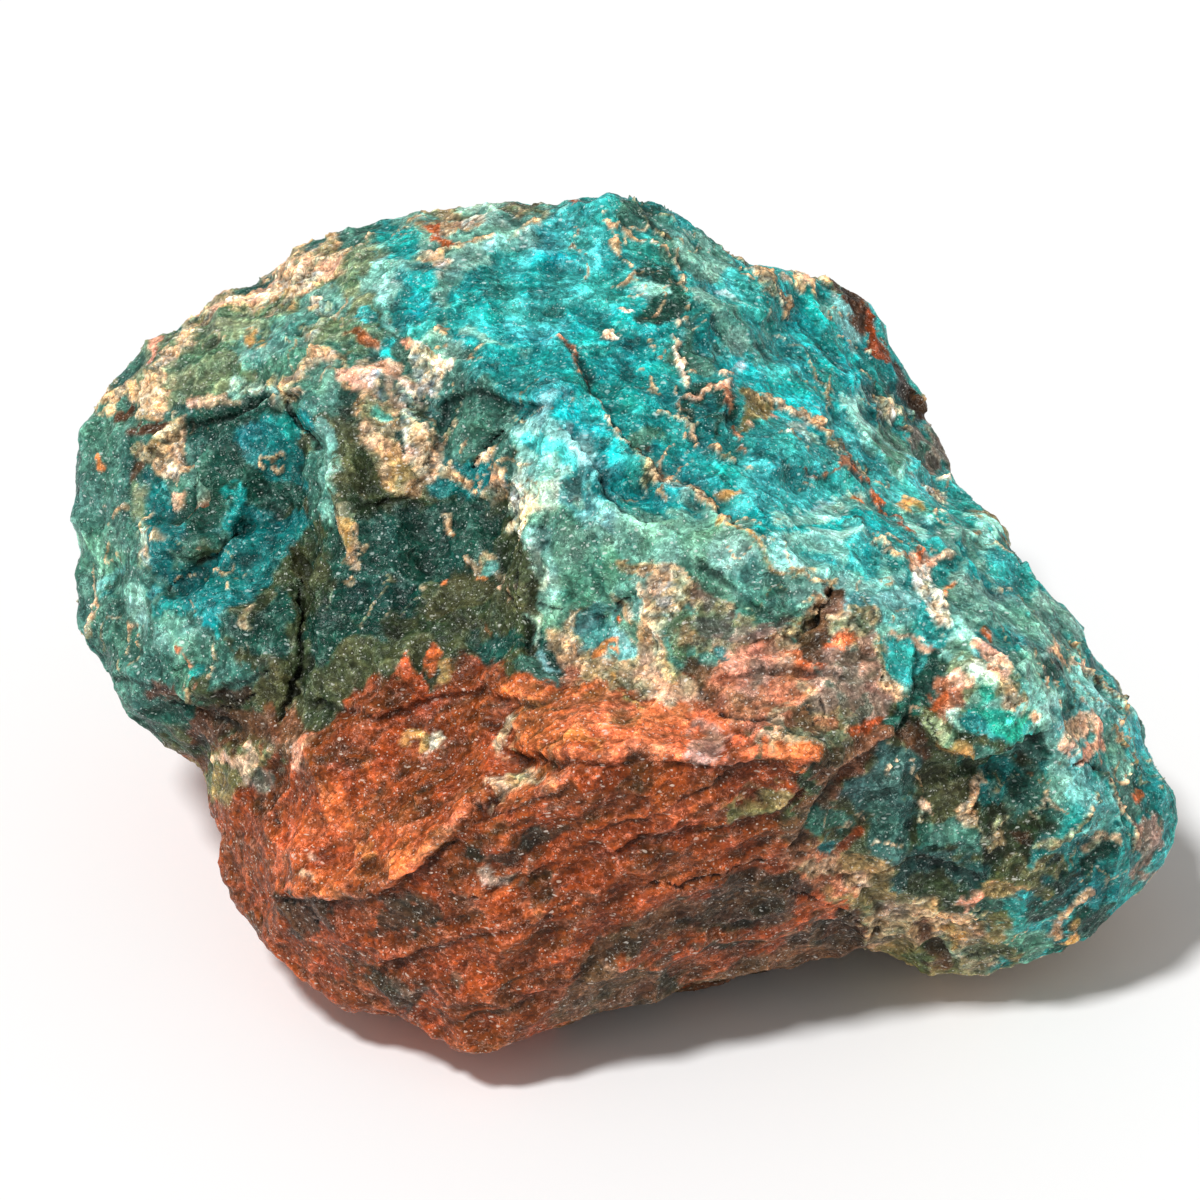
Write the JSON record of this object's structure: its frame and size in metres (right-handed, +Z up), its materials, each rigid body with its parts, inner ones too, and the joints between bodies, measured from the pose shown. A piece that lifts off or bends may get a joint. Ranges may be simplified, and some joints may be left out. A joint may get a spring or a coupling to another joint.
{
  "type": "rough mineral specimen",
  "caption": "Rough lump of green, teal and rust red jasper with a tan crust in patches, angular broken faces and a small flat spot that it rests on.",
  "frame": {"origin": "on the surface that the stone rests on, under the middle of its outline seen from above", "axes": "+X along the stone's length, to the right as seen from its red and green front; +Y towards its back; +Z up"},
  "size_m": [0.111, 0.0838, 0.0627],
  "materials": {
    "jasper": "satin"
  },
  "bodies": {
    "root": {"jasper_stone": "jasper"}
  },
  "joints": []
}
